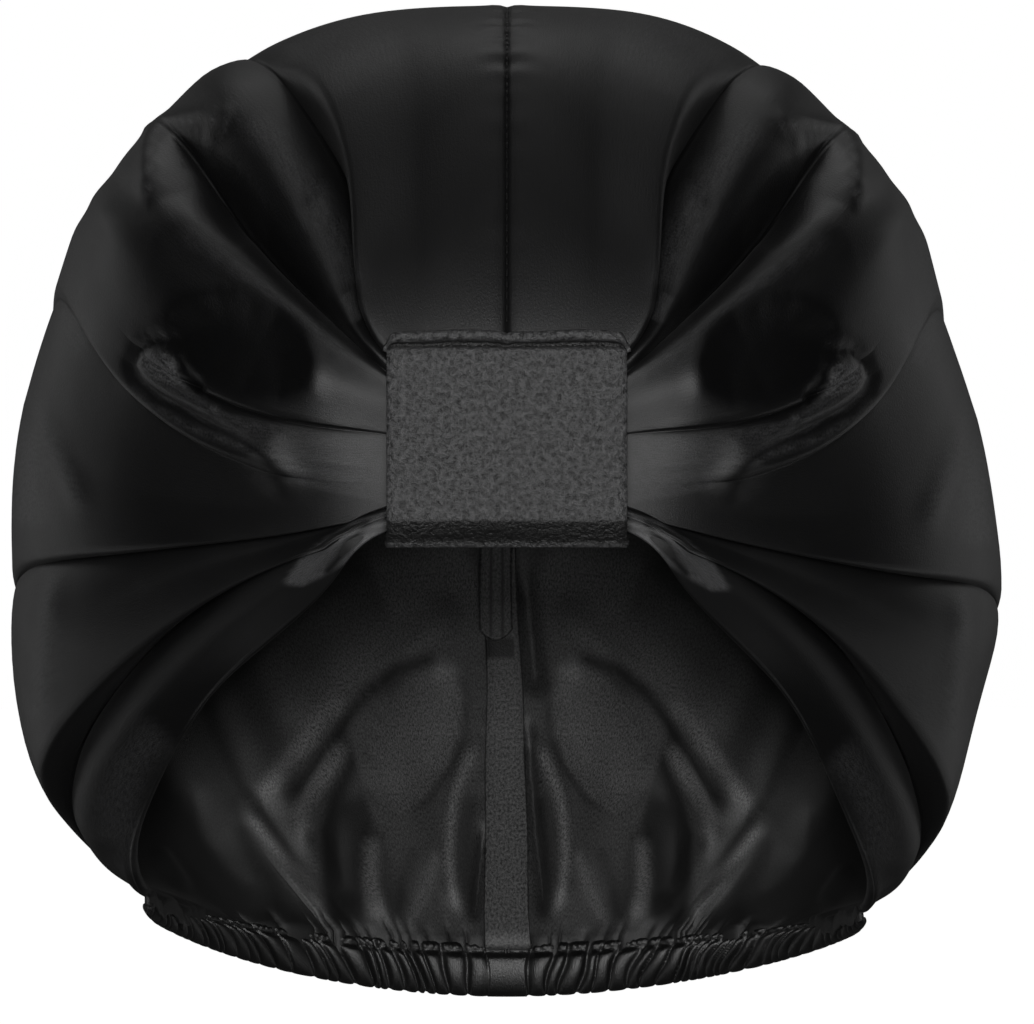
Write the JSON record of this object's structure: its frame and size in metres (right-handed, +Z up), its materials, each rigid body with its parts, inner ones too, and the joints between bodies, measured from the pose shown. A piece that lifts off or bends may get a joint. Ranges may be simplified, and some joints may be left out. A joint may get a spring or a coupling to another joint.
{
  "type": "satin sleep bonnet",
  "caption": "Puffed satin sleep bonnet in worn form, pleated into a flat loop at the forehead and drawn in by a gathered elastic casing at the nape, open at the face.",
  "frame": {"origin": "the mount head_seat: where the top of the head touches the inside of the crown, on the strip along the centre seam", "axes": "+Z up, -Y towards the front loop and the face opening, +Y towards the back of the head, X from side to side"},
  "size_m": [0.2404, 0.2451, 0.2421],
  "materials": {
    "satin": "black satin weave, smooth, with a broad soft sheen",
    "satin_loop": "black satin pulled flat and doubled, with a fine speckled sheen",
    "satin_casing": "black satin gathered tightly over elastic",
    "satin_reverse": "black satin seam allowance, pressed, with cut edges"
  },
  "bodies": {
    "root": {"crown_left": "satin", "crown_right": "satin", "front_loop": "satin_loop", "nape_casing": "satin_casing", "seam_allowance": "satin_reverse", "seam_tab": "satin_reverse"}
  },
  "joints": []
}
